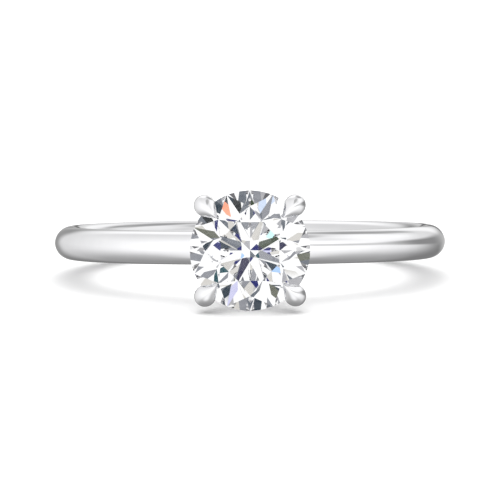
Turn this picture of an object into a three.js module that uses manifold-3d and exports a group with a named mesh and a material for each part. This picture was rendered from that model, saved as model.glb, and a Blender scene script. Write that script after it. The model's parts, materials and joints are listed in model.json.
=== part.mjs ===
// A four-claw solitaire ring with a round brilliant diamond, lying on a table
// with its stone facing -Y. Millimetres, +Z up.
import * as THREE from 'three';
import { ConvexGeometry } from 'three/addons/geometries/ConvexGeometry.js';
import { mergeVertices } from 'three/addons/utils/BufferGeometryUtils.js';
import Module from 'manifold-3d';

const wasm = await Module();
wasm.setup();

// ---- Driving dimensions ----------------------------------------------------

// The shank is a US size 7 band, half round outside and softly domed inside.
const INSIDE_DIAMETER = 17.35;
const SHANK_THICKNESS = 1.73;
const SHANK_WIDTH = 1.77;
const DOME_DEPTH = 0.85;
const HEAD_NARROWING = 0.035;
const SEAT_DEPTH = 0.3;

// The diamond is a round brilliant with a smallish table and a fairly steep crown.
const STONE_DIAMETER = 6.0;
const TABLE_RATIO = 0.525;
const CROWN_ANGLE = 37.2;
const PAVILION_ANGLE = 41.05;
const STAR_LENGTH = 0.5;
const LOWER_HALF_LENGTH = 0.8;
const GIRDLE_THICKNESS = 0.2;
const CULET_CLEARANCE = 0.07;

// The head is a tulip of four claws on a small collet that is pegged to the shank.
const BASE_HEIGHT = 0.38;
const BASE_FOOT_RADIUS = 0.95;
const BASE_RIM_RADIUS = 1.38;
const PEG_DIAMETER = 0.9;
const PEG_DEPTH = 1.0;
const CLAW_COUNT = 4;
const CLAW_WIRE_RADIUS = 0.45;
const CLAW_FOOT_RADIUS = 0.85;
const CLAW_TIP_WIDTH = 1.1;
const CLAW_TIP_REACH = 0.75;
const CLAW_OUTER_REACH = 1.24;
const RAIL_WIRE_RADIUS = 0.28;
const RAIL_RADIUS = 1.63;
const RAIL_DROP = 1.75;

// A film of solder parts the metal pieces, and the stone sits in its notches with the same gap.
const SOLDER_GAP = 0.03;

// Facets of the round surfaces.
const SHANK_SIDES = 96;
const DOME_STEPS = 10;
const WIRE_SIDES = 12;
const CLAW_STEPS = 12;
const RAIL_SIDES = 48;
const ROUND_SIDES = 32;

// ---- Dimensions worked out from them -----------------------------------------

const insideRadius = INSIDE_DIAMETER / 2;
const outsideRadius = insideRadius + SHANK_THICKNESS;
const widestRadius = outsideRadius - DOME_DEPTH;
const seatRadius = outsideRadius - SEAT_DEPTH;
const drilledRadius = PEG_DIAMETER / 2 + SOLDER_GAP;
const drilledBottom = seatRadius - PEG_DEPTH - SOLDER_GAP;

const stoneRadius = STONE_DIAMETER / 2;
const crownSlope = Math.tan(THREE.MathUtils.degToRad(CROWN_ANGLE));
const pavilionSlope = Math.tan(THREE.MathUtils.degToRad(PAVILION_ANGLE));
const baseFootHeight = seatRadius + SOLDER_GAP;
const baseRimHeight = baseFootHeight + BASE_HEIGHT;
const culetHeight = baseRimHeight + CULET_CLEARANCE;
const girdleBottom = culetHeight + stoneRadius * pavilionSlope;
const girdleTop = girdleBottom + GIRDLE_THICKNESS;
const girdleHeight = (girdleBottom + girdleTop) / 2;

const EIGHTH = Math.PI / 4;
const FIRST_MAIN = EIGHTH / 2;

// ---- Materials -----------------------------------------------------------------

function whiteGold() {
  return new THREE.MeshStandardMaterial({ color: 0xd9d9de, roughness: 0.1, metalness: 1.0 });
}

function diamondGlass() {
  return new THREE.MeshStandardMaterial({
    color: 0xf2f6ff,
    roughness: 0.0,
    metalness: 0.0,
    transparent: true,
    opacity: 0.6,
  });
}

// ---- Solids ----------------------------------------------------------------------

function toSolid(geometry) {
  const bare = geometry.clone();
  bare.deleteAttribute('normal');
  bare.deleteAttribute('uv');
  const merged = mergeVertices(bare, 1e-5);
  const vertProperties = Float32Array.from(merged.attributes.position.array);
  const triVerts = Uint32Array.from(merged.index.array);
  return new wasm.Manifold(new wasm.Mesh({ numProp: 3, vertProperties, triVerts }));
}

function toGeometry(solid) {
  const mesh = solid.getMesh();
  const geometry = new THREE.BufferGeometry();
  geometry.setAttribute('position', new THREE.BufferAttribute(mesh.vertProperties, 3));
  geometry.setIndex(new THREE.BufferAttribute(mesh.triVerts, 1));
  geometry.computeVertexNormals();
  return geometry;
}

// A turned shape about +Z from a profile of (radius, height) points that runs upwards.
function turned(profile, sides) {
  const geometry = new THREE.LatheGeometry(profile, sides);
  geometry.rotateX(Math.PI / 2);
  return geometry;
}

function uprightCylinder(radius, bottom, top, sides) {
  const geometry = new THREE.CylinderGeometry(radius, radius, top - bottom, sides);
  geometry.rotateX(Math.PI / 2);
  geometry.translate(0, 0, (top + bottom) / 2);
  return geometry;
}

function polar(radius, angle, height) {
  return new THREE.Vector3(radius * Math.cos(angle), radius * Math.sin(angle), height);
}

function namedMesh(name, geometry, material) {
  const mesh = new THREE.Mesh(geometry, material);
  mesh.name = name;
  return mesh;
}

// ---- The shank -------------------------------------------------------------------

// The band's section, two half ellipses that meet where the ring is widest.
function shankProfile() {
  const insideDepth = widestRadius - insideRadius;
  const points = [];
  for (let step = 0; step < 2 * DOME_STEPS; step += 1) {
    const angle = -Math.PI / 2 + (Math.PI * step) / DOME_STEPS;
    const depth = step <= DOME_STEPS ? DOME_DEPTH : insideDepth;
    points.push(new THREE.Vector2(widestRadius + depth * Math.cos(angle), (SHANK_WIDTH / 2) * Math.sin(angle)));
  }
  points.push(points[0].clone());
  return points;
}

// The band is widest at its back and narrows a little as it nears the head at -Y.
function narrowTowardsHead(geometry) {
  const position = geometry.attributes.position;
  for (let index = 0; index < position.count; index += 1) {
    const radius = Math.hypot(position.getX(index), position.getY(index));
    const nearness = (1 - position.getY(index) / radius) / 2;
    position.setZ(index, position.getZ(index) * (1 - HEAD_NARROWING * nearness ** 2));
  }
}

function shankGeometry() {
  const band = turned(shankProfile(), SHANK_SIDES);
  narrowTowardsHead(band);
  const seatCutter = new THREE.BoxGeometry(outsideRadius, SEAT_DEPTH * 2, SHANK_WIDTH * 2);
  seatCutter.translate(0, -seatRadius - SEAT_DEPTH, 0);
  const drill = uprightCylinder(drilledRadius, drilledBottom, outsideRadius, ROUND_SIDES);
  drill.rotateX(Math.PI / 2);
  return toGeometry(toSolid(band).subtract(toSolid(seatCutter)).subtract(toSolid(drill)));
}

// ---- The diamond -----------------------------------------------------------------

function heightOnPlane(a, b, c, point) {
  const plane = new THREE.Plane().setFromCoplanarPoints(a, b, c);
  return -(plane.normal.x * point.x + plane.normal.y * point.y + plane.constant) / plane.normal.z;
}

// The girdle's edge on one side of a break facet, from its main facet to the next.
// edgeHeight is the edge's height at both ends, and innerPoint is the facet's inner corner.
function girdleEdge(mainAngle, towards, edgeHeight, innerPoint) {
  const atMain = polar(stoneRadius, mainAngle, edgeHeight);
  const atBreak = polar(stoneRadius, mainAngle + (towards * EIGHTH) / 2, edgeHeight);
  const between = polar(stoneRadius, mainAngle + (towards * EIGHTH) / 4, 0);
  between.z = heightOnPlane(innerPoint, atMain, atBreak, between);
  return [atMain, between, atBreak];
}

function diamondPoints() {
  const halfStep = Math.cos(EIGHTH / 2);
  const tableRadius = TABLE_RATIO * stoneRadius;
  const tableHeight = girdleTop + (stoneRadius - tableRadius) * crownSlope;
  const tableEdge = tableRadius * halfStep;
  const starRadius = tableEdge + STAR_LENGTH * (stoneRadius - tableEdge);
  const starHeight = girdleTop + (stoneRadius - starRadius * halfStep) * crownSlope;
  const lowerRadius = (1 - LOWER_HALF_LENGTH) * stoneRadius;
  const lowerHeight = girdleBottom - (stoneRadius - lowerRadius * halfStep) * pavilionSlope;
  const points = [new THREE.Vector3(0, 0, culetHeight)];
  for (let index = 0; index < 8; index += 1) {
    const main = FIRST_MAIN + index * EIGHTH;
    points.push(polar(tableRadius, main, tableHeight));
    for (const towards of [-1, 1]) {
      const starTip = polar(starRadius, main + (towards * EIGHTH) / 2, starHeight);
      const lowerTip = polar(lowerRadius, main + (towards * EIGHTH) / 2, lowerHeight);
      points.push(starTip, ...girdleEdge(main, towards, girdleTop, starTip));
      points.push(lowerTip, ...girdleEdge(main, towards, girdleBottom, lowerTip));
    }
  }
  return points;
}

function diamondGeometry() {
  return new ConvexGeometry(diamondPoints());
}

// ---- The head --------------------------------------------------------------------

function baseGeometry() {
  const profile = [
    new THREE.Vector2(0, baseFootHeight),
    new THREE.Vector2(BASE_FOOT_RADIUS, baseFootHeight),
    new THREE.Vector2(BASE_RIM_RADIUS, baseRimHeight - BASE_HEIGHT / 3),
    new THREE.Vector2(BASE_RIM_RADIUS, baseRimHeight),
    new THREE.Vector2(0, baseRimHeight),
  ];
  return turned(profile, ROUND_SIDES);
}

function pegGeometry() {
  return uprightCylinder(PEG_DIAMETER / 2, seatRadius - PEG_DEPTH, seatRadius, ROUND_SIDES);
}

const railHeight = girdleHeight - RAIL_DROP;

// The rail's outline, either the round wire itself or the notch that it needs in a claw.
function railArc(wireRadius, fromAngle, toAngle) {
  const arc = new THREE.EllipseCurve(RAIL_RADIUS, railHeight, wireRadius, wireRadius, fromAngle, toAngle);
  return arc.getPoints(WIRE_SIDES);
}

function railGeometry() {
  return turned(railArc(RAIL_WIRE_RADIUS, -Math.PI, Math.PI), RAIL_SIDES);
}

function railNotch() {
  const cut = RAIL_WIRE_RADIUS + SOLDER_GAP;
  const profile = [
    new THREE.Vector2(0, railHeight - cut),
    ...railArc(cut, -Math.PI / 2, Math.PI / 2),
    new THREE.Vector2(0, railHeight + cut),
  ];
  return turned(profile, RAIL_SIDES);
}

// A claw's leg rises from the base, follows the pavilion and turns upright at the girdle.
function clawLeg() {
  const shoulder = CLAW_OUTER_REACH * stoneRadius - CLAW_TIP_WIDTH / 2;
  const path = new THREE.CubicBezierCurve3(
    new THREE.Vector3(CLAW_FOOT_RADIUS, 0, baseFootHeight),
    new THREE.Vector3(CLAW_FOOT_RADIUS * 1.1, 0, baseFootHeight + 0.3 * stoneRadius),
    new THREE.Vector3(shoulder, 0, girdleHeight - 0.42 * stoneRadius),
    new THREE.Vector3(shoulder, 0, girdleTop),
  );
  const section = new THREE.Shape(
    new THREE.EllipseCurve(0, 0, CLAW_WIRE_RADIUS, CLAW_WIRE_RADIUS).getPoints(WIRE_SIDES).slice(1),
  );
  return new THREE.ExtrudeGeometry(section, { steps: CLAW_STEPS, extrudePath: path });
}

// The claw's tip is a teardrop that lies along the crown with its point towards the table.
function clawTip() {
  const shoulder = CLAW_OUTER_REACH * stoneRadius - CLAW_TIP_WIDTH / 2;
  const tipRadius = CLAW_TIP_REACH * stoneRadius;
  const point = new THREE.Vector3(tipRadius, 0, girdleTop + (stoneRadius - tipRadius) * crownSlope);
  const heel = new THREE.Vector3(shoulder, 0, girdleTop);
  const length = point.distanceTo(heel);
  const half = CLAW_TIP_WIDTH / 2;
  const flank = new THREE.QuadraticBezierCurve(
    new THREE.Vector2(0, 0),
    new THREE.Vector2(half, length * 0.45),
    new THREE.Vector2(half, length),
  );
  const round = new THREE.EllipseCurve(0, length, half, half, 0, Math.PI / 2);
  const profile = [...flank.getPoints(WIRE_SIDES / 2), ...round.getPoints(WIRE_SIDES / 2).slice(1)];
  profile[profile.length - 1].x = 0;
  const geometry = new THREE.LatheGeometry(profile, WIRE_SIDES);
  const along = heel.clone().sub(point).normalize();
  geometry.applyQuaternion(new THREE.Quaternion().setFromUnitVectors(new THREE.Vector3(0, 1, 0), along));
  geometry.translate(point.x, point.y, point.z);
  return geometry;
}

// The stone, grown by the gap about the middle of its girdle, cuts the seat in a claw.
function stoneCutter() {
  const grown = 1 + SOLDER_GAP / stoneRadius;
  const geometry = diamondGeometry();
  geometry.translate(0, 0, -girdleHeight);
  geometry.scale(grown, grown, grown);
  geometry.translate(0, 0, girdleHeight);
  return geometry;
}

function clawGeometry() {
  const footCutter = uprightCylinder(stoneRadius, insideRadius, baseRimHeight + SOLDER_GAP, ROUND_SIDES);
  const claw = toSolid(clawLeg())
    .add(toSolid(clawTip()))
    .subtract(toSolid(stoneCutter()))
    .subtract(toSolid(railNotch()))
    .subtract(toSolid(footCutter));
  return toGeometry(claw);
}

function addClaws(head) {
  const geometry = clawGeometry();
  const names = ['claw_upper_right', 'claw_upper_left', 'claw_lower_left', 'claw_lower_right'];
  names.forEach((name, index) => {
    const claw = namedMesh(name, geometry, whiteGold());
    claw.rotation.z = EIGHTH + (index * 2 * Math.PI) / CLAW_COUNT;
    head.add(claw);
  });
}

// The head is built upright about +Z from the ring's centre.
function buildHead() {
  const head = new THREE.Group();
  head.add(namedMesh('head_peg', pegGeometry(), whiteGold()));
  head.add(namedMesh('head_base', baseGeometry(), whiteGold()));
  head.add(namedMesh('gallery_rail', railGeometry(), whiteGold()));
  addClaws(head);
  head.add(namedMesh('diamond', diamondGeometry(), diamondGlass()));
  return head;
}

// ---- The ring at rest ----------------------------------------------------------------

// The ring lies on the lowest point of the girdle and on the lower edge of the shank's back.
// The tilt solves reach * tan(tilt) = stoneRadius - (the dome's half height along the tilt).
function lyingTilt() {
  const reach = girdleBottom + widestRadius;
  const halfWidth = SHANK_WIDTH / 2;
  const square = reach ** 2 - DOME_DEPTH ** 2;
  const root = Math.sqrt((reach * stoneRadius) ** 2 - square * (stoneRadius ** 2 - halfWidth ** 2));
  return Math.atan((reach * stoneRadius - root) / square);
}

function buildRing() {
  const ring = new THREE.Group();
  ring.add(namedMesh('shank', shankGeometry(), whiteGold()));
  const head = buildHead();
  head.rotation.x = Math.PI / 2;
  ring.add(head);
  ring.rotation.x = -lyingTilt();
  return ring;
}

// The origin is the middle of the ring's footprint, on the table.
function standOnOrigin(ring) {
  const part = new THREE.Group();
  part.add(ring);
  part.updateMatrixWorld(true);
  const box = new THREE.Box3().setFromObject(part, true);
  const middle = box.getCenter(new THREE.Vector3());
  ring.position.set(-middle.x, -middle.y, -box.min.z);
  return part;
}

const part = standOnOrigin(buildRing());

export default part;
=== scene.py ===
"""A four-claw diamond solitaire ring, lying on a white table with its stone facing the camera."""
import json
from math import atan2, cos, exp, log, pi, radians, sin, sqrt, tan

import bmesh
import bpy
from mathutils import Matrix, Vector


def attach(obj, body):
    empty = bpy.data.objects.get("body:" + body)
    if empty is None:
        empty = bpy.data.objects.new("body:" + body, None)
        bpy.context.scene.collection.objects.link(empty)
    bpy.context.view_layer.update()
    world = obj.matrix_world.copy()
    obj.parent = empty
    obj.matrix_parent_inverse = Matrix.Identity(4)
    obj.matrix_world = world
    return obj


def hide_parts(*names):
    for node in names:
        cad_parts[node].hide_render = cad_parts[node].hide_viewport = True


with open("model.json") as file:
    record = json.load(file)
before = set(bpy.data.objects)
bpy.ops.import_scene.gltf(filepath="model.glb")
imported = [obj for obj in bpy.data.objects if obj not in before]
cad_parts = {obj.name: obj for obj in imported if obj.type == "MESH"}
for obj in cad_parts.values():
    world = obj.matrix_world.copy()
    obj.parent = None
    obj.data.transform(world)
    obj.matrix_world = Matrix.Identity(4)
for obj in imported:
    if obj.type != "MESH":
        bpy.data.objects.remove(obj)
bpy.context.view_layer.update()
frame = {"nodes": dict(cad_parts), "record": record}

MM = 0.001
scene = bpy.context.scene
record = frame["record"]


# ---- Places and sizes from the frame, in millimetres ------------------------------

# The ring's own frame: +Z along the finger hole, -Y towards the stone.
hole = next(mount for mount in record["mounts"] if mount["name"] == "finger_hole")
hole_axis = Vector(hole["axis"]).normalized()
side_axis = Vector((1.0, 0.0, 0.0))
ring_axes = Matrix((side_axis, hole_axis.cross(side_axis), hole_axis)).transposed().to_4x4()
ring_frame = Matrix.Translation(Vector(hole["pos_m"])) @ ring_axes @ Matrix.Scale(MM, 4)
# The head's frame: +Z out along the stone's axis, +X to the right seen from the stone.
head_frame = ring_frame @ Matrix.Rotation(pi / 2, 4, "X")


def span(node, frame_matrix, axis):
    """The lowest and highest place of a CAD node along an axis of the ring's or the head's frame."""
    inverse = frame_matrix.inverted()
    places = [(inverse @ vertex.co)[axis] for vertex in frame["nodes"][node].data.vertices]
    return min(places), max(places)


inside_radius = hole["dims"]["r_mm"]
band_width = hole["dims"]["length_mm"]
outside_radius = span("shank", ring_frame, 0)[1]
seat_height = span("shank", head_frame, 2)[1]
stone_radius = span("diamond", head_frame, 0)[1]
culet_height, table_height = span("diamond", head_frame, 2)
base_foot, base_rim = span("head_base", head_frame, 2)
base_radius = span("head_base", head_frame, 0)[1]
rail_bottom, rail_top = span("gallery_rail", head_frame, 2)
rail_outside = span("gallery_rail", head_frame, 0)[1]
peg_bottom = span("head_peg", head_frame, 2)[0]
peg_radius = span("head_peg", head_frame, 0)[1]

# Proportions of the cut, as in the CAD model.
CROWN_ANGLE = radians(37.2)
PAVILION_ANGLE = radians(41.05)
TABLE_RATIO = 0.525
STAR_LENGTH = 0.5
LOWER_HALF_LENGTH = 0.8
girdle_top = table_height - stone_radius * (1 - TABLE_RATIO) * tan(CROWN_ANGLE)
girdle_bottom = culet_height + stone_radius * tan(PAVILION_ANGLE)
girdle_middle = (girdle_top + girdle_bottom) / 2

# How far the soldered pieces stand apart.
GAP = 0.02


# ---- Mesh helpers -------------------------------------------------------------------

def polar(radius, angle, height):
    return Vector((radius * cos(angle), radius * sin(angle), height))


def grid_mesh(rings, closed):
    """A closed surface through rings of points.

    closed joins the last ring to the first. Otherwise both ends are capped.
    """
    mesh = bmesh.new()
    rows = [[mesh.verts.new(point) for point in ring] for ring in rings]
    pairs = list(zip(rows, rows[1:]))
    if closed:
        pairs.append((rows[-1], rows[0]))
    for lower, upper in pairs:
        for index in range(len(lower)):
            after = (index + 1) % len(lower)
            mesh.faces.new((lower[index], lower[after], upper[after], upper[index]))
    if not closed:
        for row in (rows[0], rows[-1]):
            cap_centre = mesh.verts.new(sum((vertex.co for vertex in row), Vector()) / len(row))
            for index in range(len(row)):
                mesh.faces.new((row[index], row[(index + 1) % len(row)], cap_centre))
    bmesh.ops.recalc_face_normals(mesh, faces=mesh.faces)
    return mesh


def add_object(name, mesh, place):
    """An object from a bmesh that was built in a local frame."""
    mesh.transform(place)
    data = bpy.data.meshes.new(name)
    mesh.to_mesh(data)
    mesh.free()
    made = bpy.data.objects.new(name, data)
    scene.collection.objects.link(made)
    return made


SHARP_ANGLE = radians(32)


def shade(obj, sharp_angle=SHARP_ANGLE):
    """Smooth shading, with the edges that turn by more than the sharp angle left crisp."""
    mesh = bmesh.new()
    mesh.from_mesh(obj.data)
    for face in mesh.faces:
        face.smooth = True
    for edge in mesh.edges:
        edge.smooth = len(edge.link_faces) == 2 and edge.calc_face_angle() < sharp_angle
    mesh.to_mesh(obj.data)
    mesh.free()


def cut(mesh, *cutters):
    """A closed mesh less the cutters, worked in millimetres. Both are used up."""
    blank = add_object("blank", mesh, Matrix.Identity(4))
    for cutter_mesh in cutters:
        cutter = add_object("cutter", cutter_mesh, Matrix.Identity(4))
        step = blank.modifiers.new("cut", "BOOLEAN")
        step.operation = "DIFFERENCE"
        step.solver = "EXACT"
        step.object = cutter
        depsgraph = bpy.context.evaluated_depsgraph_get()
        blank.data = bpy.data.meshes.new_from_object(blank.evaluated_get(depsgraph))
        blank.modifiers.clear()
        bpy.data.objects.remove(cutter)
    result = bmesh.new()
    result.from_mesh(blank.data)
    bpy.data.objects.remove(blank)
    return result


def turned(profile, sides):
    """A turned solid about +Z. The profile is (radius, height) points from the axis to the axis."""
    mesh = bmesh.new()
    inner = profile[1:-1]
    rows = []
    for side in range(sides):
        angle = 2 * pi * side / sides
        rows.append([mesh.verts.new(polar(radius, angle, height)) for radius, height in inner])
    poles = [mesh.verts.new((0.0, 0.0, profile[0][1])), mesh.verts.new((0.0, 0.0, profile[-1][1]))]
    for side in range(sides):
        here = rows[side]
        there = rows[(side + 1) % sides]
        for index in range(len(inner) - 1):
            mesh.faces.new((here[index], there[index], there[index + 1], here[index + 1]))
        mesh.faces.new((poles[0], there[0], here[0]))
        mesh.faces.new((poles[1], here[-1], there[-1]))
    bmesh.ops.recalc_face_normals(mesh, faces=mesh.faces)
    return mesh


def ring_about_z(section, sides):
    """A closed ring about +Z from a closed section of (radius, height) points."""
    rings = []
    for side in range(sides):
        angle = 2 * pi * side / sides
        rings.append([polar(radius, angle, height) for radius, height in section])
    return grid_mesh(rings, closed=True)


def round_arc(centre, radius, start, end, steps):
    """Points along an arc, with both its ends."""
    points = []
    for index in range(steps + 1):
        angle = start + (end - start) * index / steps
        points.append((centre[0] + radius * cos(angle), centre[1] + radius * sin(angle)))
    return points


# The fullness of an ellipse. A section with more is squarer, and one with less is more pointed.
ROUND = 2.0


def signed_power(value, power):
    """value to a power, with the sign that value has."""
    return abs(value) ** power * (1 if value >= 0 else -1)


# ---- The shank ------------------------------------------------------------------------

# How far the outside stands over the section's widest place, and the fullness of that half.
DOME_DEPTH = 0.85
DOME_FULLNESS = 1.9
# The share of its width that the band loses at the head.
HEAD_NARROWING = 0.035
# The seat has a small round at its edge, which has died out this many softnesses below the seat.
SEAT_SOFTNESS = 0.05
SEAT_ROUND_REACH = 30
SHANK_SIDES = 384
SECTION_POINTS = 72
DRILL_SIDES = 48


def shank_section():
    """A half-round outside and a softly domed inside, meeting at the widest place."""
    widest = outside_radius - DOME_DEPTH
    points = []
    for index in range(SECTION_POINTS):
        angle = 2 * pi * index / SECTION_POINTS
        outside = cos(angle) >= 0
        depth = DOME_DEPTH if outside else widest - inside_radius
        power = 2 / (DOME_FULLNESS if outside else ROUND)
        radius = widest + depth * signed_power(cos(angle), power)
        points.append((radius, band_width / 2 * signed_power(sin(angle), power)))
    return points


def soft_limit(value, limit, softness):
    """value held under limit, with a small round where the two meet."""
    excess = (limit - value) / softness
    return limit - softness * (excess if excess > SEAT_ROUND_REACH else log(1 + exp(excess)))


def make_shank():
    """The band, narrowed towards the head, with the seat filed and the peg's hole drilled."""
    mesh = ring_about_z(shank_section(), SHANK_SIDES)
    for vertex in mesh.verts:
        nearness = (1 - vertex.co.y / vertex.co.xy.length) / 2
        vertex.co.z *= 1 - HEAD_NARROWING * nearness ** 2
        if vertex.co.y < -inside_radius:
            vertex.co.y = -soft_limit(-vertex.co.y, seat_height, SEAT_SOFTNESS)
    drilled = peg_radius + GAP
    bottom = peg_bottom - GAP
    top = outside_radius
    drill = turned([(0, bottom), (drilled, bottom), (drilled, top), (0, top)], DRILL_SIDES)
    drill.transform(Matrix.Rotation(pi / 2, 4, "X"))
    shank = add_object("polished_shank", cut(mesh, drill), ring_frame)
    shade(shank)
    return shank


# ---- The diamond ----------------------------------------------------------------------

GIRDLE_SIDES = 192
EIGHTH = pi / 4
FIRST_MAIN = EIGHTH / 2
# What the round blank has to spare above the table and below the culet.
BLANK_SPARE = 1.0
CUT_TOLERANCE = 1e-6
# The facets meet at more than this, and the girdle's sides at less.
FACET_TURN = radians(4)
# A face is the girdle's if its normal has less than this along the stone's axis.
GIRDLE_LEAN = 0.01


def facet_planes():
    """A point and an outward normal for every facet of the brilliant."""
    half = cos(EIGHTH / 2)
    crown_slope = tan(CROWN_ANGLE)
    pavilion_slope = tan(PAVILION_ANGLE)
    table_edge = TABLE_RATIO * stone_radius * half
    star_radius = table_edge + STAR_LENGTH * (stone_radius - table_edge)
    star_height = girdle_top + (stone_radius - star_radius * half) * crown_slope
    lower_radius = (1 - LOWER_HALF_LENGTH) * stone_radius
    lower_height = girdle_bottom - (stone_radius - lower_radius * half) * pavilion_slope
    corners = []
    for index in range(8):
        main = FIRST_MAIN + index * EIGHTH
        on_girdle = polar(stone_radius, main, girdle_top)
        under_girdle = polar(stone_radius, main, girdle_bottom)
        table_corner = polar(TABLE_RATIO * stone_radius, main, table_height)
        star_tips = [polar(star_radius, main + way * EIGHTH / 2, star_height) for way in (-1, 1)]
        lower_tips = [polar(lower_radius, main + way * EIGHTH / 2, lower_height) for way in (-1, 1)]
        corners.append((on_girdle, *star_tips))
        corners.append((under_girdle, *lower_tips))
        next_corner = polar(TABLE_RATIO * stone_radius, main + EIGHTH, table_height)
        corners.append((table_corner, next_corner, star_tips[1]))
        for way, star_tip, lower_tip in zip((-1, 1), star_tips, lower_tips):
            between = main + way * EIGHTH / 2
            corners.append((on_girdle, polar(stone_radius, between, girdle_top), star_tip))
            corners.append((under_girdle, polar(stone_radius, between, girdle_bottom), lower_tip))
    inside = Vector((0, 0, girdle_middle))
    planes = [(Vector((0, 0, table_height)), Vector((0, 0, 1)))]
    for a, b, c in corners:
        normal = (b - a).cross(c - a).normalized()
        planes.append((a, normal if normal.dot(a - inside) > 0 else -normal))
    return planes


def cut_brilliant():
    """The diamond as it is ground: a round blank cut by one plane after the other."""
    bottom = culet_height - BLANK_SPARE
    top = table_height + BLANK_SPARE
    mesh = turned([(0, bottom), (stone_radius, bottom), (stone_radius, top), (0, top)], GIRDLE_SIDES)
    for point, normal in facet_planes():
        everything = mesh.verts[:] + mesh.edges[:] + mesh.faces[:]
        sliced = bmesh.ops.bisect_plane(
            mesh, geom=everything, plane_co=point, plane_no=normal, clear_outer=True, dist=CUT_TOLERANCE
        )
        rim = [item for item in sliced["geom_cut"] if isinstance(item, bmesh.types.BMEdge)]
        bmesh.ops.edgenet_fill(mesh, edges=rim)
    bmesh.ops.recalc_face_normals(mesh, faces=mesh.faces)
    return mesh


def make_diamond():
    """The cut stone. Its girdle's faces take the second material."""
    stone = add_object("cut_diamond", cut_brilliant(), head_frame)
    shade(stone, FACET_TURN)
    stone_axis = head_frame.to_3x3().col[2].normalized()
    for polygon in stone.data.polygons:
        if abs(polygon.normal.dot(stone_axis)) < GIRDLE_LEAN:
            polygon.material_index = 1
    return stone


# ---- The head -------------------------------------------------------------------------

# Radii from the stone's axis: the legs' feet, the claws' outermost place and the tips' points.
CLAW_FOOT = 0.85
CLAW_REACH = 1.245 * stone_radius
CLAW_POINT = 0.75 * stone_radius
# The wire's radius at the foot and at the top of a leg.
CLAW_WIRE = (0.43, 0.54)
# The handles of a leg's curve: one at this radius and height over the foot, and one this far below
# the girdle.
FOOT_HANDLE = (1.1 * CLAW_FOOT, 0.3 * stone_radius)
SHOULDER_HANDLE = 0.42 * stone_radius
# The radius from the stone's axis of the point that a claw bends about.
CLAW_PIVOT = 2.62
# How thick a tip's point is over the crown.
POINT_THICKNESS = 0.09
# How high over the girdle a tip is where it starts and at its point.
TIP_TOP = 0.80
TIP_END = (stone_radius - CLAW_POINT) * tan(CROWN_ANGLE) + POINT_THICKNESS
# A tip stays high at first and falls away towards its point.
TIP_FALL = 1.7
# The fullness of a tip's section, squarish below and ridged above.
TIP_UNDERSIDE = 3.5
TIP_RIDGE = 1.65
# The underside squares up late in the bend.
SQUARING_POWER = 6
# The last section of a tip is this far along it, so that it doesn't shrink to nothing.
LAST_STATION = 0.99
LEG_STATIONS = 40
BEND_STATIONS = 24
TIP_STATIONS = 20
CLAW_SECTION = 48

rail_wire = (rail_top - rail_bottom) / 2
rail_radius = rail_outside - rail_wire
rail_height = (rail_top + rail_bottom) / 2
NOTCH_STEPS = 24
NOTCH_SIDES = 128
RAIL_SECTION = 32
RAIL_SIDES = 160

# How much larger the stone's seat is than the stone.
SEAT_ROOM = 0.3 * GAP
# How far the cut for the base reaches below it.
FOOT_CUTTER_DEPTH = 1.0
FOOT_CUTTER_SIDES = 64

BASE_FOOT_RADIUS = 0.69 * base_radius
BASE_EDGE = 0.09
# The angle on the arcs of both edges that the flare's straight side starts and ends at.
BASE_FLARE = -0.15 * pi
FOOT_EDGE_STEPS = 5
RIM_EDGE_STEPS = 10
BASE_SIDES = 128


def bezier(points, t):
    """The place at t on a cubic curve."""
    a, b, c, d = points
    s = 1 - t
    return a * s ** 3 + b * 3 * s * s * t + c * 3 * s * t * t + d * t ** 3


def bezier_tangent(points, t):
    """The way that a cubic curve goes at t."""
    a, b, c, d = points
    s = 1 - t
    return ((b - a) * s * s + (c - b) * 2 * s * t + (d - c) * t * t).normalized()


def teardrop_half_width(radius):
    """Half the claw's width, seen along the stone's axis: a round heel and straight sides to a point."""
    wire = CLAW_WIRE[1]
    shoulder = CLAW_REACH - wire
    sine = wire / (shoulder - CLAW_POINT)
    if radius > shoulder - wire * sine:
        return sqrt(max(wire ** 2 - (radius - shoulder) ** 2, 0.0))
    return max(radius - CLAW_POINT, 0.0) * sine / sqrt(1 - sine ** 2)


def claw_ring(inner, outer, half_width, inner_fullness, outer_fullness):
    """A closed section between two points of the claw's plane, as wide as half_width to each side."""
    middle = (inner + outer) / 2
    half = (outer - inner) / 2
    ring = []
    for index in range(CLAW_SECTION):
        angle = 2 * pi * index / CLAW_SECTION
        fullness = outer_fullness if cos(angle) >= 0 else inner_fullness
        place = middle + half * signed_power(cos(angle), 2 / fullness)
        ring.append(Vector((place.x, half_width * signed_power(sin(angle), 2 / fullness), place.y)))
    return ring


def hold_in_teardrop(ring):
    """The section with nothing wider than the claw's outline, seen along the stone's axis."""
    for point in ring:
        limit = teardrop_half_width(point.x)
        point.y = max(-limit, min(limit, point.y))
    return ring


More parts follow.
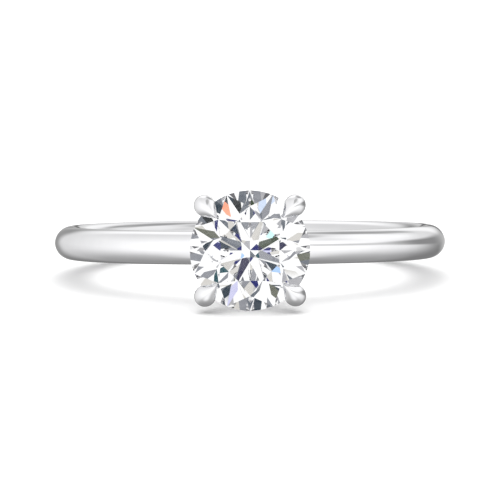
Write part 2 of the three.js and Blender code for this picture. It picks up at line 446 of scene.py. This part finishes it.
def claw_rings():
    """The claw at angle 0 about the stone: a leg, a bend round the girdle and a tip along the crown."""
    foot_wire, top_wire = CLAW_WIRE
    shoulder = CLAW_REACH - top_wire
    path = (
        Vector((CLAW_FOOT, base_foot)),
        Vector((FOOT_HANDLE[0], base_foot + FOOT_HANDLE[1])),
        Vector((shoulder, girdle_middle - SHOULDER_HANDLE)),
        Vector((shoulder, girdle_middle)),
    )
    rings = []
    for station in range(LEG_STATIONS):
        t = station / LEG_STATIONS
        tangent = bezier_tangent(path, t)
        outwards = Vector((tangent.y, -tangent.x))
        wire = foot_wire + (top_wire - foot_wire) * t * t
        centre = bezier(path, t)
        rings.append(claw_ring(centre - outwards * wire, centre + outwards * wire, wire, ROUND, ROUND))
    pivot = Vector((CLAW_PIVOT, girdle_middle))
    top_height = girdle_top + TIP_TOP
    for station in range(BEND_STATIONS + 1):
        turn = pi / 2 * station / BEND_STATIONS
        outer = pivot + Vector((cos(turn) * (CLAW_REACH - pivot.x), sin(turn) * (top_height - pivot.y)))
        # The width is the leg's where the bend starts, and the tip's where it ends.
        leg_share = (shoulder - (CLAW_REACH + pivot.x) / 2) * cos(turn)
        half_width = teardrop_half_width((pivot.x + outer.x) / 2 + leg_share)
        ridged = sin(turn)
        underside = ROUND + (TIP_UNDERSIDE - ROUND) * ridged ** SQUARING_POWER
        ridge = ROUND + (TIP_RIDGE - ROUND) * ridged
        ring = claw_ring(pivot, outer, half_width, underside, ridge)
        rings.append(hold_in_teardrop(ring))
    for station in range(1, TIP_STATIONS + 1):
        along = min(station / TIP_STATIONS, LAST_STATION)
        radius = pivot.x + (CLAW_POINT - pivot.x) * along
        inner = Vector((radius, girdle_middle))
        outer = Vector((radius, top_height - (TIP_TOP - TIP_END) * along ** TIP_FALL))
        rings.append(claw_ring(inner, outer, teardrop_half_width(radius), TIP_UNDERSIDE, TIP_RIDGE))
    return rings


def stone_seat():
    """The diamond, grown by a hair about the middle of its girdle."""
    mesh = cut_brilliant()
    grown = 1 + SEAT_ROOM / stone_radius
    middle = Matrix.Translation((0, 0, girdle_middle))
    mesh.transform(middle @ Matrix.Scale(grown, 4) @ middle.inverted())
    return mesh


def rail_notch():
    """What a claw loses to the rail: the wire's outside, open towards the stone's axis."""
    arc = round_arc((rail_radius, rail_height), rail_wire + GAP / 2, -pi / 2, pi / 2, NOTCH_STEPS)
    return turned([(0, arc[0][1])] + arc + [(0, arc[-1][1])], NOTCH_SIDES)


def foot_cutter():
    """What a claw loses to the base that it stands on."""
    top = base_rim + GAP / 2
    bottom = base_foot - FOOT_CUTTER_DEPTH
    side = 2 * base_radius
    return turned([(0, bottom), (side, bottom), (side, top), (0, top)], FOOT_CUTTER_SIDES)


def make_claws():
    """One finished claw, copied to the four corners of the stone."""
    pattern = cut(grid_mesh(claw_rings(), closed=False), stone_seat(), rail_notch(), foot_cutter())
    claws = {}
    for index, corner in enumerate(("upper_right", "upper_left", "lower_left", "lower_right")):
        turn = Matrix.Rotation(EIGHTH + index * pi / 2, 4, "Z")
        claws[corner] = add_object("polished_claw_" + corner, pattern.copy(), head_frame @ turn)
        shade(claws[corner])
    pattern.free()
    return claws


def make_rail():
    """A round wire bent to a ring."""
    section = round_arc((rail_radius, rail_height), rail_wire, 0, 2 * pi, RAIL_SECTION)[:-1]
    rail = add_object("polished_gallery_rail", ring_about_z(section, RAIL_SIDES), head_frame)
    shade(rail)
    return rail


def make_base():
    """A flared collet with a rounded rim and a soft edge at its foot."""
    foot_edge = (BASE_FOOT_RADIUS - BASE_EDGE, base_foot + BASE_EDGE)
    rim_edge = (base_radius - BASE_EDGE, base_rim - BASE_EDGE)
    profile = [(0, base_foot), (foot_edge[0], base_foot)]
    profile += round_arc(foot_edge, BASE_EDGE, -pi / 2, BASE_FLARE, FOOT_EDGE_STEPS)[1:]
    profile += round_arc(rim_edge, BASE_EDGE, BASE_FLARE, pi / 2, RIM_EDGE_STEPS)
    profile.append((0, base_rim))
    base = add_object("polished_head_base", turned(profile, BASE_SIDES), head_frame)
    shade(base)
    return base


# ---- Materials ------------------------------------------------------------------------

def new_material(name):
    """A material, its node tree and its shader."""
    material = bpy.data.materials.new(name)
    material.use_nodes = True
    return material, material.node_tree, material.node_tree.nodes["Principled BSDF"]


def linked(tree, node, **inputs):
    """The node, with its inputs set to values or linked to outputs.

    The names are the inputs' indexes, as i0, i1 and so on.
    """
    for name, value in inputs.items():
        socket = node.inputs[int(name[1:])]
        if isinstance(value, bpy.types.NodeSocket):
            tree.links.new(value, socket)
        else:
            socket.default_value = value
    return node


def maths(tree, operation, first, second=0.0, third=0.0):
    node = tree.nodes.new("ShaderNodeMath")
    node.operation = operation
    return linked(tree, node, i0=first, i1=second, i2=third).outputs[0]


def vector_maths(tree, operation, **inputs):
    node = tree.nodes.new("ShaderNodeVectorMath")
    node.operation = operation
    return linked(tree, node, **inputs)


def fade(tree, value, start, end):
    """0 below start and 1 above end, or the other way about when end is the lower."""
    node = tree.nodes.new("ShaderNodeMapRange")
    node.interpolation_type = "SMOOTHSTEP"
    tree.links.new(value, node.inputs["Value"])
    node.inputs["From Min"].default_value = min(start, end)
    node.inputs["From Max"].default_value = max(start, end)
    node.inputs["To Min"].default_value = 0.0 if start < end else 1.0
    node.inputs["To Max"].default_value = 1.0 if start < end else 0.0
    return node.outputs["Result"]


def blend_colour(tree, factor, under, over):
    """under where the factor is 0, and over where it is 1."""
    node = tree.nodes.new("ShaderNodeMix")
    node.data_type = "RGBA"
    # Inputs 6 and 7 are the two colours.
    sockets = (node.inputs["Factor"], node.inputs[6], node.inputs[7])
    for socket, value in zip(sockets, (factor, under, over)):
        if isinstance(value, bpy.types.NodeSocket):
            tree.links.new(value, socket)
        else:
            socket.default_value = value if isinstance(value, float) else (*value, 1.0)
    return node.outputs[2]


def noise(tree, place, scale, detail):
    node = tree.nodes.new("ShaderNodeTexNoise")
    tree.links.new(place, node.inputs["Vector"])
    node.inputs["Scale"].default_value = scale
    node.inputs["Detail"].default_value = detail
    return node.outputs["Fac"]


def set_roughness(tree, shader, value, lowest, highest):
    """A shader's roughness, from the lowest where the value is 0 to the highest where it is 1."""
    node = tree.nodes.new("ShaderNodeMapRange")
    node.inputs["To Min"].default_value = lowest
    node.inputs["To Max"].default_value = highest
    tree.links.new(value, node.inputs["Value"])
    tree.links.new(node.outputs["Result"], shader.inputs["Roughness"])


# The metal's tones vary in soft clouds, and its gloss in the same clouds with fine wheel marks.
OUTSIDE_TONES = ((0.80, 0.80, 0.815), (0.86, 0.86, 0.87))
METAL_ROUGHNESS = (0.02, 0.05)
CLOUD_SCALE = 900.0
CLOUD_DETAIL = 3.0
MARK_SCALE = 9000.0
MARK_SHARE = 0.3
FINE_DETAIL = 2.0
# The painted shade in the finger hole: how bright the hole is painted beside the outside, and how far
# above the hole's smallest radius it starts to fade, and where it is gone and the metal is as bright as
# the outside.
BORE_PAINTED_SHADE = 0.80
BORE_SHADE_FADE = (0.05, 0.45)


def white_gold():
    """Rhodium-plated white gold, high polish, with painted shade darkening the finger hole."""
    material, tree, shader = new_material("white_gold_high_polish")
    shader.inputs["Metallic"].default_value = 1.0
    place = tree.nodes.new("ShaderNodeTexCoord").outputs["Object"]
    cloud = noise(tree, place, CLOUD_SCALE, CLOUD_DETAIL)
    marks = noise(tree, place, MARK_SCALE, FINE_DETAIL)
    haze = maths(tree, "MULTIPLY_ADD", marks, MARK_SHARE, cloud)
    set_roughness(tree, shader, haze, *METAL_ROUGHNESS)
    tone = blend_colour(tree, cloud, *OUTSIDE_TONES)
    from_centre = vector_maths(tree, "SUBTRACT", i0=place, i1=ring_frame.translation)
    across = vector_maths(tree, "CROSS_PRODUCT", i0=from_centre.outputs["Vector"], i1=hole_axis)
    radius = vector_maths(tree, "LENGTH", i0=across.outputs["Vector"])
    brightening = [(inside_radius + above) * MM for above in BORE_SHADE_FADE]
    outside = fade(tree, radius.outputs["Value"], *brightening)
    # Painted shade: the finger hole is coloured darker, standing in for the shade and dim reflections
    # inside the ring.
    shaded_bore = vector_maths(tree, "SCALE", i0=tone, i3=BORE_PAINTED_SHADE)
    colour = blend_colour(tree, outside, shaded_bore.outputs["Vector"], tone)
    tree.links.new(colour, shader.inputs["Base Color"])
    return material


DIAMOND_INDEX = 2.417
BODY_TONES = ((0.97, 0.975, 0.985), (1.0, 1.0, 1.0))
BODY_SCALE = 600.0
# The facets' own reflection is held back, so that the light from inside the stone shows.
FACET_REFLECTION = (0.2, 0.2, 0.21, 1.0)
GIRDLE_TONES = ((0.82, 0.83, 0.85), (0.95, 0.95, 0.96))
GIRDLE_ROUGHNESS = (0.25, 0.5)
GRAIN_SCALE = 20000.0


def diamond_glass():
    """Colourless diamond: perfectly clear facets, with the faintest uneven body tone."""
    material, tree, shader = new_material("colourless_diamond")
    place = tree.nodes.new("ShaderNodeTexCoord").outputs["Object"]
    body = blend_colour(tree, noise(tree, place, BODY_SCALE, FINE_DETAIL), *BODY_TONES)
    tree.links.new(body, shader.inputs["Base Color"])
    shader.inputs["Roughness"].default_value = 0.0
    shader.inputs["IOR"].default_value = DIAMOND_INDEX
    shader.inputs["Transmission Weight"].default_value = 1.0
    shader.inputs["Specular Tint"].default_value = FACET_REFLECTION
    return material


def bruted_girdle():
    """The stone's ground edge, left fine matt between the facets."""
    material, tree, shader = new_material("bruted_girdle")
    place = tree.nodes.new("ShaderNodeTexCoord").outputs["Object"]
    grain = noise(tree, place, GRAIN_SCALE, FINE_DETAIL)
    tree.links.new(blend_colour(tree, grain, *GIRDLE_TONES), shader.inputs["Base Color"])
    set_roughness(tree, shader, grain, *GIRDLE_ROUGHNESS)
    shader.inputs["IOR"].default_value = DIAMOND_INDEX
    shader.inputs["Transmission Weight"].default_value = 1.0
    return material


# ---- The camera -----------------------------------------------------------------------

# The camera is a little above the ring's own plane, which is tipped back by the lying tilt.
LYING_TILT = atan2(hole_axis.y, hole_axis.z)
CAMERA_ELEVATION = LYING_TILT + radians(2.04)
# It aims this far above the middle of the girdle, in millimetres.
CAMERA_RAISE = 0.03
CAMERA_DISTANCE = 187 * MM
CAMERA_ROLL = radians(-0.27)
LENS = 270.0
SENSOR_WIDTH = 36.0
CLIP_START = 10 * MM


def add_camera():
    """A long lens in front of the stone."""
    target = head_frame @ Vector((0, CAMERA_RAISE, girdle_middle))
    away = Vector((0, -cos(CAMERA_ELEVATION), sin(CAMERA_ELEVATION)))
    camera = bpy.data.objects.new("camera", bpy.data.cameras.new("camera"))
    camera.data.lens = LENS
    camera.data.sensor_width = SENSOR_WIDTH
    camera.data.clip_start = CLIP_START
    camera.location = target + away * CAMERA_DISTANCE
    look = (-away).to_track_quat("-Z", "Y").to_matrix().to_4x4()
    roll = Matrix.Rotation(CAMERA_ROLL, 4, "Z")
    camera.matrix_world = Matrix.Translation(camera.location) @ look @ roll
    scene.collection.objects.link(camera)
    scene.camera = camera


# ---- The table and the light -----------------------------------------------------------

# How far below the ring the table lies, and half its side.
TABLE_DROP = 0.1 * MM
TABLE_HALF = 3000 * MM
TABLE_WHITE = 0.93
TABLE_ROUGHNESS = 0.6


def grey(tone):
    return (tone, tone, tone, 1.0)


def add_table():
    """A wide white table. The metal and the stone see the studio in its place."""
    corners = ((-1, -1), (1, -1), (1, 1), (-1, 1))
    mesh = bmesh.new()
    mesh.faces.new([mesh.verts.new((x * TABLE_HALF, y * TABLE_HALF, -TABLE_DROP)) for x, y in corners])
    table = add_object("table", mesh, Matrix.Identity(4))
    material, _, shader = new_material("white_table")
    shader.inputs["Base Color"].default_value = grey(TABLE_WHITE)
    shader.inputs["Roughness"].default_value = TABLE_ROUGHNESS
    table.data.materials.append(material)
    table.visible_glossy = False
    table.visible_transmission = False


# The tones of the cards and panels. Most are greys, and the few colours show as the stone's fire.
WHITE = (1.1, 1.1, 1.1)
LAVENDER = (0.66, 0.66, 0.92)
SKY = (0.45, 0.68, 1.15)
PALE_SKY = (0.69, 0.80, 1.0)
AQUA = (0.65, 1.15, 1.1)
CREAM = (0.70, 0.68, 0.64)
SALMON = (1.15, 0.45, 0.28)
PEARL = (0.46, 0.46, 0.48)
SILVER = (0.28, 0.29, 0.32)
STEEL = (0.14, 0.16, 0.19)
STONE_GREY = (0.14, 0.15, 0.11)
MOSS = (0.02, 0.045, 0.01)
SLATE = (0.015, 0.035, 0.055)
TEAL = (0.0, 0.07, 0.09)
BLUE = (0.0, 0.005, 0.15)
VIOLET = (0.0, 0.0, 0.05)
CHARCOAL = (0.005, 0.01, 0.01)
# The cards that the stone sees. Each is its degrees to the right of the stone's axis and above it, its
# radius in degrees and its tone, and stands where one of the stone's reflections looks for its light.
# These rows aren't worked out here. They were typed, rounded, from the printouts of other programs,
# which traced rays through the stone and listed the photograph's colour for each direction.
GEM_CARDS = (
    (6.0, -16.5, 5.0, WHITE),
    (-21.0, -11.0, 4.5, WHITE),
    (-13.5, -8.0, 3.5, WHITE),
    (13.5, -8.0, 3.5, WHITE),
    (27.5, -8.0, 3.5, WHITE),
    (-28.0, -8.0, 3.0, WHITE),
    (20.0, 3.5, 4.5, WHITE),
    (-9.0, 17.0, 4.0, WHITE),
    (-13.0, 24.5, 4.0, WHITE),
    (-5.5, 26.5, 2.5, WHITE),
    (13.0, -26.5, 3.0, WHITE),
    (-13.0, -26.5, 3.0, WHITE),
    (22.5, 37.0, 5.0, WHITE),
    (-22.5, 37.0, 4.0, WHITE),
    (-10.5, 44.0, 3.0, WHITE),
    (14.5, -42.0, 4.0, WHITE),
    (-14.5, -42.0, 4.0, WHITE),
    (-20.0, -77.0, 5.0, WHITE),
    (-7.0, 57.0, 4.0, WHITE),
    (73.0, 15.0, 5.0, WHITE),
    (45.0, -14.0, 4.0, PEARL),
    (14.3, 21.0, 2.0, CREAM),
    (24.5, 15.0, 2.5, PALE_SKY),
    (-5.0, -13.9, 1.2, LAVENDER),
    (5.2, 26.6, 2.0, SALMON),
    (11.6, 25.7, 2.0, CREAM),
    (-7.1, -19.2, 2.2, VIOLET),
    (24.9, 8.4, 1.6, MOSS),
    (-17.0, 4.5, 2.0, STONE_GREY),
    (-24.6, 8.2, 1.5, STEEL),
    (-24.0, 5.0, 1.5, SILVER),
    (20.0, -10.0, 1.3, SILVER),
    (38.0, -20.0, 3.0, SLATE),
    (7.7, 16.5, 2.0, SILVER),
    (-24.5, 15.0, 2.0, CHARCOAL),
    (-40.5, 23.0, 2.5, STEEL),
    (8.5, -24.8, 1.4, SLATE),
    (-8.0, -25.0, 1.6, STONE_GREY),
    (20.5, -41.5, 1.8, STONE_GREY),
    (-20.5, -41.5, 1.8, SILVER),
    (40.5, 23.0, 2.5, SILVER),
    (10.7, 44.0, 3.0, SLATE),
    (-38.0, -20.0, 2.5, SILVER),
    (-45.0, -14.0, 3.0, CHARCOAL),
    (66.0, -42.0, 5.0, SLATE),
    (7.3, 57.0, 3.0, SLATE),
    (-35.0, 47.0, 3.0, TEAL),
    (-73.0, 15.0, 5.0, SLATE),
    (20.0, -77.0, 4.0, SILVER),
    (-41.0, -50.0, 3.0, BLUE),
    (-8.0, 9.5, 2.3, VIOLET),
    (9.3, 9.0, 3.0, BLUE),
    (-3.1, 10.6, 1.0, BLUE),
    (1.4, 13.1, 1.3, TEAL),
    (-1.4, 13.1, 1.3, SKY),
    (63.0, 36.0, 3.0, AQUA),
    (-12.0, 3.0, 1.8, WHITE),
    (-12.0, -12.0, 2.0, WHITE),
    (-20.0, -33.0, 2.5, WHITE),
    (-30.0, -24.0, 2.0, WHITE),
    (-60.0, 9.0, 3.0, WHITE),
    (35.5, 20.5, 1.8, WHITE),
    (18.0, 39.0, 2.0, WHITE),
    (-66.0, -42.0, 4.0, CREAM),
    (-39.0, -69.0, 4.0, CREAM),
    (-6.0, -36.0, 2.0, CREAM),
    (12.0, 3.0, 1.8, CREAM),
    (-15.5, 0.0, 1.6, CREAM),
    (42.0, 12.0, 2.5, PEARL),
    (36.0, 48.0, 3.0, PEARL),
    (39.0, 60.0, 3.0, PEARL),
    (15.0, -3.0, 1.8, PEARL),
    (39.0, 6.0, 2.0, PEARL),
    (30.0, -24.0, 1.8, PEARL),
    (6.0, -27.0, 1.5, PEARL),
    (15.0, 69.0, 4.0, SILVER),
    (-45.0, 36.0, 3.0, SILVER),
    (3.5, 11.5, 1.4, SILVER),
    (33.0, -15.0, 2.0, SILVER),
    (-39.0, 6.0, 2.0, SILVER),
    (-9.5, 12.0, 1.8, SILVER),
    (0.0, 54.0, 2.5, SILVER),
    (-9.0, -66.0, 3.0, SILVER),
    (-63.0, -6.0, 4.0, STEEL),
    (-24.0, 33.0, 1.8, STEEL),
    (-18.5, 39.0, 1.8, STEEL),
    (36.0, -9.0, 2.0, STEEL),
    (-6.0, -27.5, 1.5, SILVER),
    (-27.0, 3.0, 1.6, SILVER),
    (-12.5, 6.5, 1.2, STEEL),
    (18.0, 22.0, 1.8, WHITE),
    (52.0, -38.0, 3.0, WHITE),
    (-52.0, -38.0, 3.0, WHITE),
    (-38.0, 16.0, 1.8, SILVER),
    (-40.0, -12.0, 1.8, SILVER),
    (32.0, -28.0, 1.8, SILVER),
    (-38.0, 30.0, 2.0, STEEL),
    (-36.0, -26.0, 2.0, STEEL),
)


# The wall behind the cards is made of panels. Each tone starts at its share of the panels.
PANEL_SCALE = 0.16
PANEL_TONES = (
    (0.0, WHITE),
    (0.55, PEARL),
    (0.6, CREAM),
    (0.66, SILVER),
    (0.78, STEEL),
    (0.88, SLATE),
    (0.95, BLUE),
)
CARD_EDGE = 0.1
# Behind the stone the wall fades out, as the cosine to the stone's axis falls from 0 to this.
WALL_END = -0.3
BEHIND_TONE = (0.12, 0.12, 0.13)
TO_DEGREES = 180 / pi
# Keeps the chart's scale finite straight ahead.
SMALLEST_OFFSET = 1e-4


def chart_place(tree, toward):
    """A direction's degrees to the right of the stone's axis and above it, on a flat chart."""
    right_squared = maths(tree, "POWER", toward[0], 2.0)
    up_squared = maths(tree, "POWER", toward[1], 2.0)
    offset = maths(tree, "SQRT", maths(tree, "ADD", right_squared, up_squared))
    degrees = maths(tree, "MULTIPLY", maths(tree, "ARCTAN2", offset, toward[2]), TO_DEGREES)
    scale = maths(tree, "DIVIDE", degrees, maths(tree, "MAXIMUM", offset, SMALLEST_OFFSET))
    right = maths(tree, "MULTIPLY", toward[0], scale)
    up = maths(tree, "MULTIPLY", toward[1], scale)
    chart = tree.nodes.new("ShaderNodeCombineXYZ")
    return linked(tree, chart, i0=right, i1=up).outputs["Vector"]


def gem_light(tree, direction):
    """What the stone sees: a wall of pale and grey panels around the camera, with cards on it."""
    toward = []
    for axis in range(3):
        head_axis = head_frame.to_3x3().col[axis].normalized()
        dot = vector_maths(tree, "DOT_PRODUCT", i0=direction, i1=head_axis)
        toward.append(dot.outputs["Value"])
    place = chart_place(tree, toward)
    panels = tree.nodes.new("ShaderNodeTexVoronoi")
    panels.voronoi_dimensions = "2D"
    tree.links.new(place, panels.inputs["Vector"])
    panels.inputs["Scale"].default_value = PANEL_SCALE
    chance = tree.nodes.new("ShaderNodeSeparateColor")
    tree.links.new(panels.outputs["Color"], chance.inputs["Color"])
    tones = tree.nodes.new("ShaderNodeValToRGB")
    tones.color_ramp.interpolation = "CONSTANT"
    stops = tones.color_ramp.elements
    for position, tone in PANEL_TONES:
        stop = stops[0] if position == 0.0 else stops.new(position)
        stop.color = (*tone, 1.0)
    stops.remove(stops[-1])
    tree.links.new(chance.outputs["Red"], tones.inputs["Fac"])
    colour = tones.outputs["Color"]
    for right, above, radius, tone in GEM_CARDS:
        away = vector_maths(tree, "DISTANCE", i0=place, i1=(right, above, 0.0))
        card = fade(tree, away.outputs["Value"], radius + CARD_EDGE, radius - CARD_EDGE)
        colour = blend_colour(tree, card, colour, tone)
    return blend_colour(tree, fade(tree, toward[2], 0.0, WALL_END), colour, BEHIND_TONE)


# The tent's grey at each elevation, in degrees.
LOWEST = -90.0
HIGHEST = 90.0
TENT_TONES = (
    (-90.0, 0.42),
    (-70.0, 0.45),
    (-55.0, 0.52),
    (-45.0, 0.60),
    (-30.0, 0.84),
    (-15.0, 1.05),
    (0.0, 1.12),
    (30.0, 1.14),
    (60.0, 1.0),
    (90.0, 0.82),
)
# The camera's side is brighter by this, and the far side darker.
FRONT_GAIN = 0.35
# Each strip is the bearings that it starts and ends at with their blur, its low and high edge, how much
# they rise with the bearing, their blur, and its grey. Bearing 0 is the camera's side, and bearings grow
# to the right. A strip across the far side, at 180 and -180, is written as two that run on past it.
# The strips and the tent were drawn by hand to follow another program's printout of the brightness
# that the photograph needs from each range of directions.
METAL_STRIPS = (
    (-45.0, 45.0, 35.0, -75.0, -10.0, 0.0, 15.0, 1.15),
    (5.0, 150.0, 20.0, 67.0, 120.0, 0.0, 6.0, 0.55),
    (55.0, 110.0, 15.0, 47.0, 63.0, 0.0, 6.0, 0.98),
    (85.0, 135.0, 12.0, 26.0, 60.0, 0.0, 8.0, 1.20),
    (-260.0, -150.0, 12.0, 28.0, 64.0, 0.0, 10.0, 1.22),
    (174.0, 260.0, 6.0, 28.0, 64.0, 0.0, 10.0, 1.22),
    (-260.0, -166.0, 10.0, 0.0, 18.0, 0.0, 5.0, 0.78),
    (174.0, 260.0, 6.0, 0.0, 18.0, 0.0, 5.0, 0.78),
    (130.0, 260.0, 30.0, -42.0, -4.0, 0.0, 9.0, 0.23),
    (-260.0, -155.0, 15.0, -42.0, -4.0, 0.0, 9.0, 0.23),
    (155.0, 260.0, 6.0, -13.0, 3.0, 0.0, 5.0, 0.60),
    (-260.0, -170.0, 6.0, -13.0, 3.0, 0.0, 5.0, 0.60),
    (-175.0, -155.0, 8.0, -16.0, 18.0, 0.0, 6.0, 0.34),
    (168.0, 260.0, 4.0, -3.0, 1.5, 0.0, 1.5, 0.18),
    (-260.0, -176.0, 3.0, -3.0, 1.5, 0.0, 1.5, 0.18),
    (30.0, 160.0, 12.0, 26.0, 38.0, -0.217, 6.0, 0.72),
    (100.0, 158.0, 20.0, 21.0, 42.0, -0.217, 5.0, 0.30),
    (157.0, 174.0, 5.0, 8.0, 28.0, 0.0, 5.0, 1.1),
    (146.0, 158.0, 5.0, 28.0, 42.0, 0.0, 6.0, 0.42),
    (138.0, 168.0, 9.0, 38.0, 58.0, 0.0, 6.0, 0.42),
)


def soft_band(tree, value, low, high, blur):
    """1 between low and high, fading to 0 across both."""
    risen = fade(tree, value, low - blur, low + blur)
    not_passed = fade(tree, value, high + blur, high - blur)
    return maths(tree, "MULTIPLY", risen, not_passed)


def metal_light(tree, direction):
    """What the metal sees: a white tent that greys towards the floor, with a few soft grey strips."""
    axes = tree.nodes.new("ShaderNodeSeparateXYZ")
    tree.links.new(direction, axes.inputs["Vector"])
    x, y, z = axes.outputs
    to_camera = maths(tree, "MULTIPLY", y, -1.0)
    height = maths(tree, "MULTIPLY", maths(tree, "ARCSINE", z), TO_DEGREES)
    bearing = maths(tree, "MULTIPLY", maths(tree, "ARCTAN2", x, to_camera), TO_DEGREES)
    tent = tree.nodes.new("ShaderNodeMapRange")
    tree.links.new(height, tent.inputs["Value"])
    tent.inputs["From Min"].default_value = LOWEST
    tent.inputs["From Max"].default_value = HIGHEST
    tones = tree.nodes.new("ShaderNodeValToRGB")
    tree.links.new(tent.outputs["Result"], tones.inputs["Fac"])
    stops = tones.color_ramp.elements
    for elevation, tone in TENT_TONES:
        stop = stops.new((elevation - LOWEST) / (HIGHEST - LOWEST))
        stop.color = grey(tone)
    stops.remove(stops[0])
    stops.remove(stops[-1])
    colour = maths(tree, "ADD", tones.outputs["Color"], maths(tree, "MULTIPLY", y, -FRONT_GAIN))
    for start, end, end_blur, low, high, rise, edge_blur, tone in METAL_STRIPS:
        level = maths(tree, "SUBTRACT", height, maths(tree, "MULTIPLY", bearing, rise))
        across = soft_band(tree, level, low, high, edge_blur)
        along = soft_band(tree, bearing, start, end, end_blur)
        colour = blend_colour(tree, maths(tree, "MULTIPLY", across, along), colour, (tone, tone, tone))
    return colour


# What the table gets from all round, beside the softbox.
TABLE_FILL = 0.12


def mix_light(tree, factor, under, over):
    node = tree.nodes.new("ShaderNodeMixShader")
    return linked(tree, node, i0=factor, i1=under.outputs[0], i2=over.outputs[0])


def add_world():
    """A faint fill for the table, and a studio of their own for the metal and for the stone."""
    world = bpy.data.worlds.new("studio")
    world.use_nodes = True
    world.cycles.sampling_method = "NONE"
    scene.world = world
    tree = world.node_tree
    direction = tree.nodes.new("ShaderNodeTexCoord").outputs["Generated"]
    ray = tree.nodes.new("ShaderNodeLightPath")
    plain = tree.nodes["Background"]
    plain.inputs["Color"].default_value = grey(1.0)
    fill = tree.nodes.new("ShaderNodeBackground")
    fill.inputs["Color"].default_value = grey(TABLE_FILL)
    around = mix_light(tree, ray.outputs["Is Camera Ray"], fill, plain)
    for flag, seen in (("Is Glossy Ray", metal_light), ("Is Transmission Ray", gem_light)):
        studio = tree.nodes.new("ShaderNodeBackground")
        tree.links.new(seen(tree, direction), studio.inputs["Color"])
        around = mix_light(tree, ray.outputs[flag], around, studio)
    tree.links.new(around.outputs[0], tree.nodes["World Output"].inputs["Surface"])


# The softbox is overhead and a little to the back.
TOP_LIGHT_STRENGTH = 4.4
TOP_LIGHT_SPREAD = radians(104)
TOP_LIGHT_LEAN = radians(14)


def add_top_light():
    """A broad softbox over the table. Reflections show the studio in its place."""
    lamp = bpy.data.lights.new("top_softbox", "SUN")
    lamp.angle = TOP_LIGHT_SPREAD
    lamp.energy = TOP_LIGHT_STRENGTH
    light = bpy.data.objects.new("top_softbox", lamp)
    light.rotation_euler.x = -TOP_LIGHT_LEAN
    light.visible_camera = False
    light.visible_glossy = False
    light.visible_transmission = False
    scene.collection.objects.link(light)


# ---- Assembly --------------------------------------------------------------------------

def place_piece(piece, material, slot, *nodes):
    """Give a piece its material, and its place in the frame instead of the CAD nodes."""
    piece.data.materials.clear()
    piece.data.materials.append(material)
    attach(piece, "root")
    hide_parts(*nodes)


add_camera()
metal = white_gold()
glass = diamond_glass()
place_piece(make_shank(), metal, "white_gold", "shank")
place_piece(make_base(), metal, "white_gold", "head_base")
place_piece(make_rail(), metal, "white_gold", "gallery_rail")
for corner, claw in make_claws().items():
    place_piece(claw, metal, "white_gold", "claw_" + corner)
diamond = make_diamond()
place_piece(diamond, glass, "diamond", "diamond")
diamond.data.materials.append(bruted_girdle())
diamond.visible_shadow = False
# The peg is sealed in the shank, so its CAD mesh stays and only gets the metal.
peg = frame["nodes"]["head_peg"]
peg.data.materials.clear()
peg.data.materials.append(metal)

add_table()
add_world()
add_top_light()
scene.view_settings.view_transform = "Standard"
# Light crosses the stone many times before it comes out.
scene.cycles.max_bounces = 32
scene.cycles.glossy_bounces = 24
scene.cycles.transmission_bounces = 24
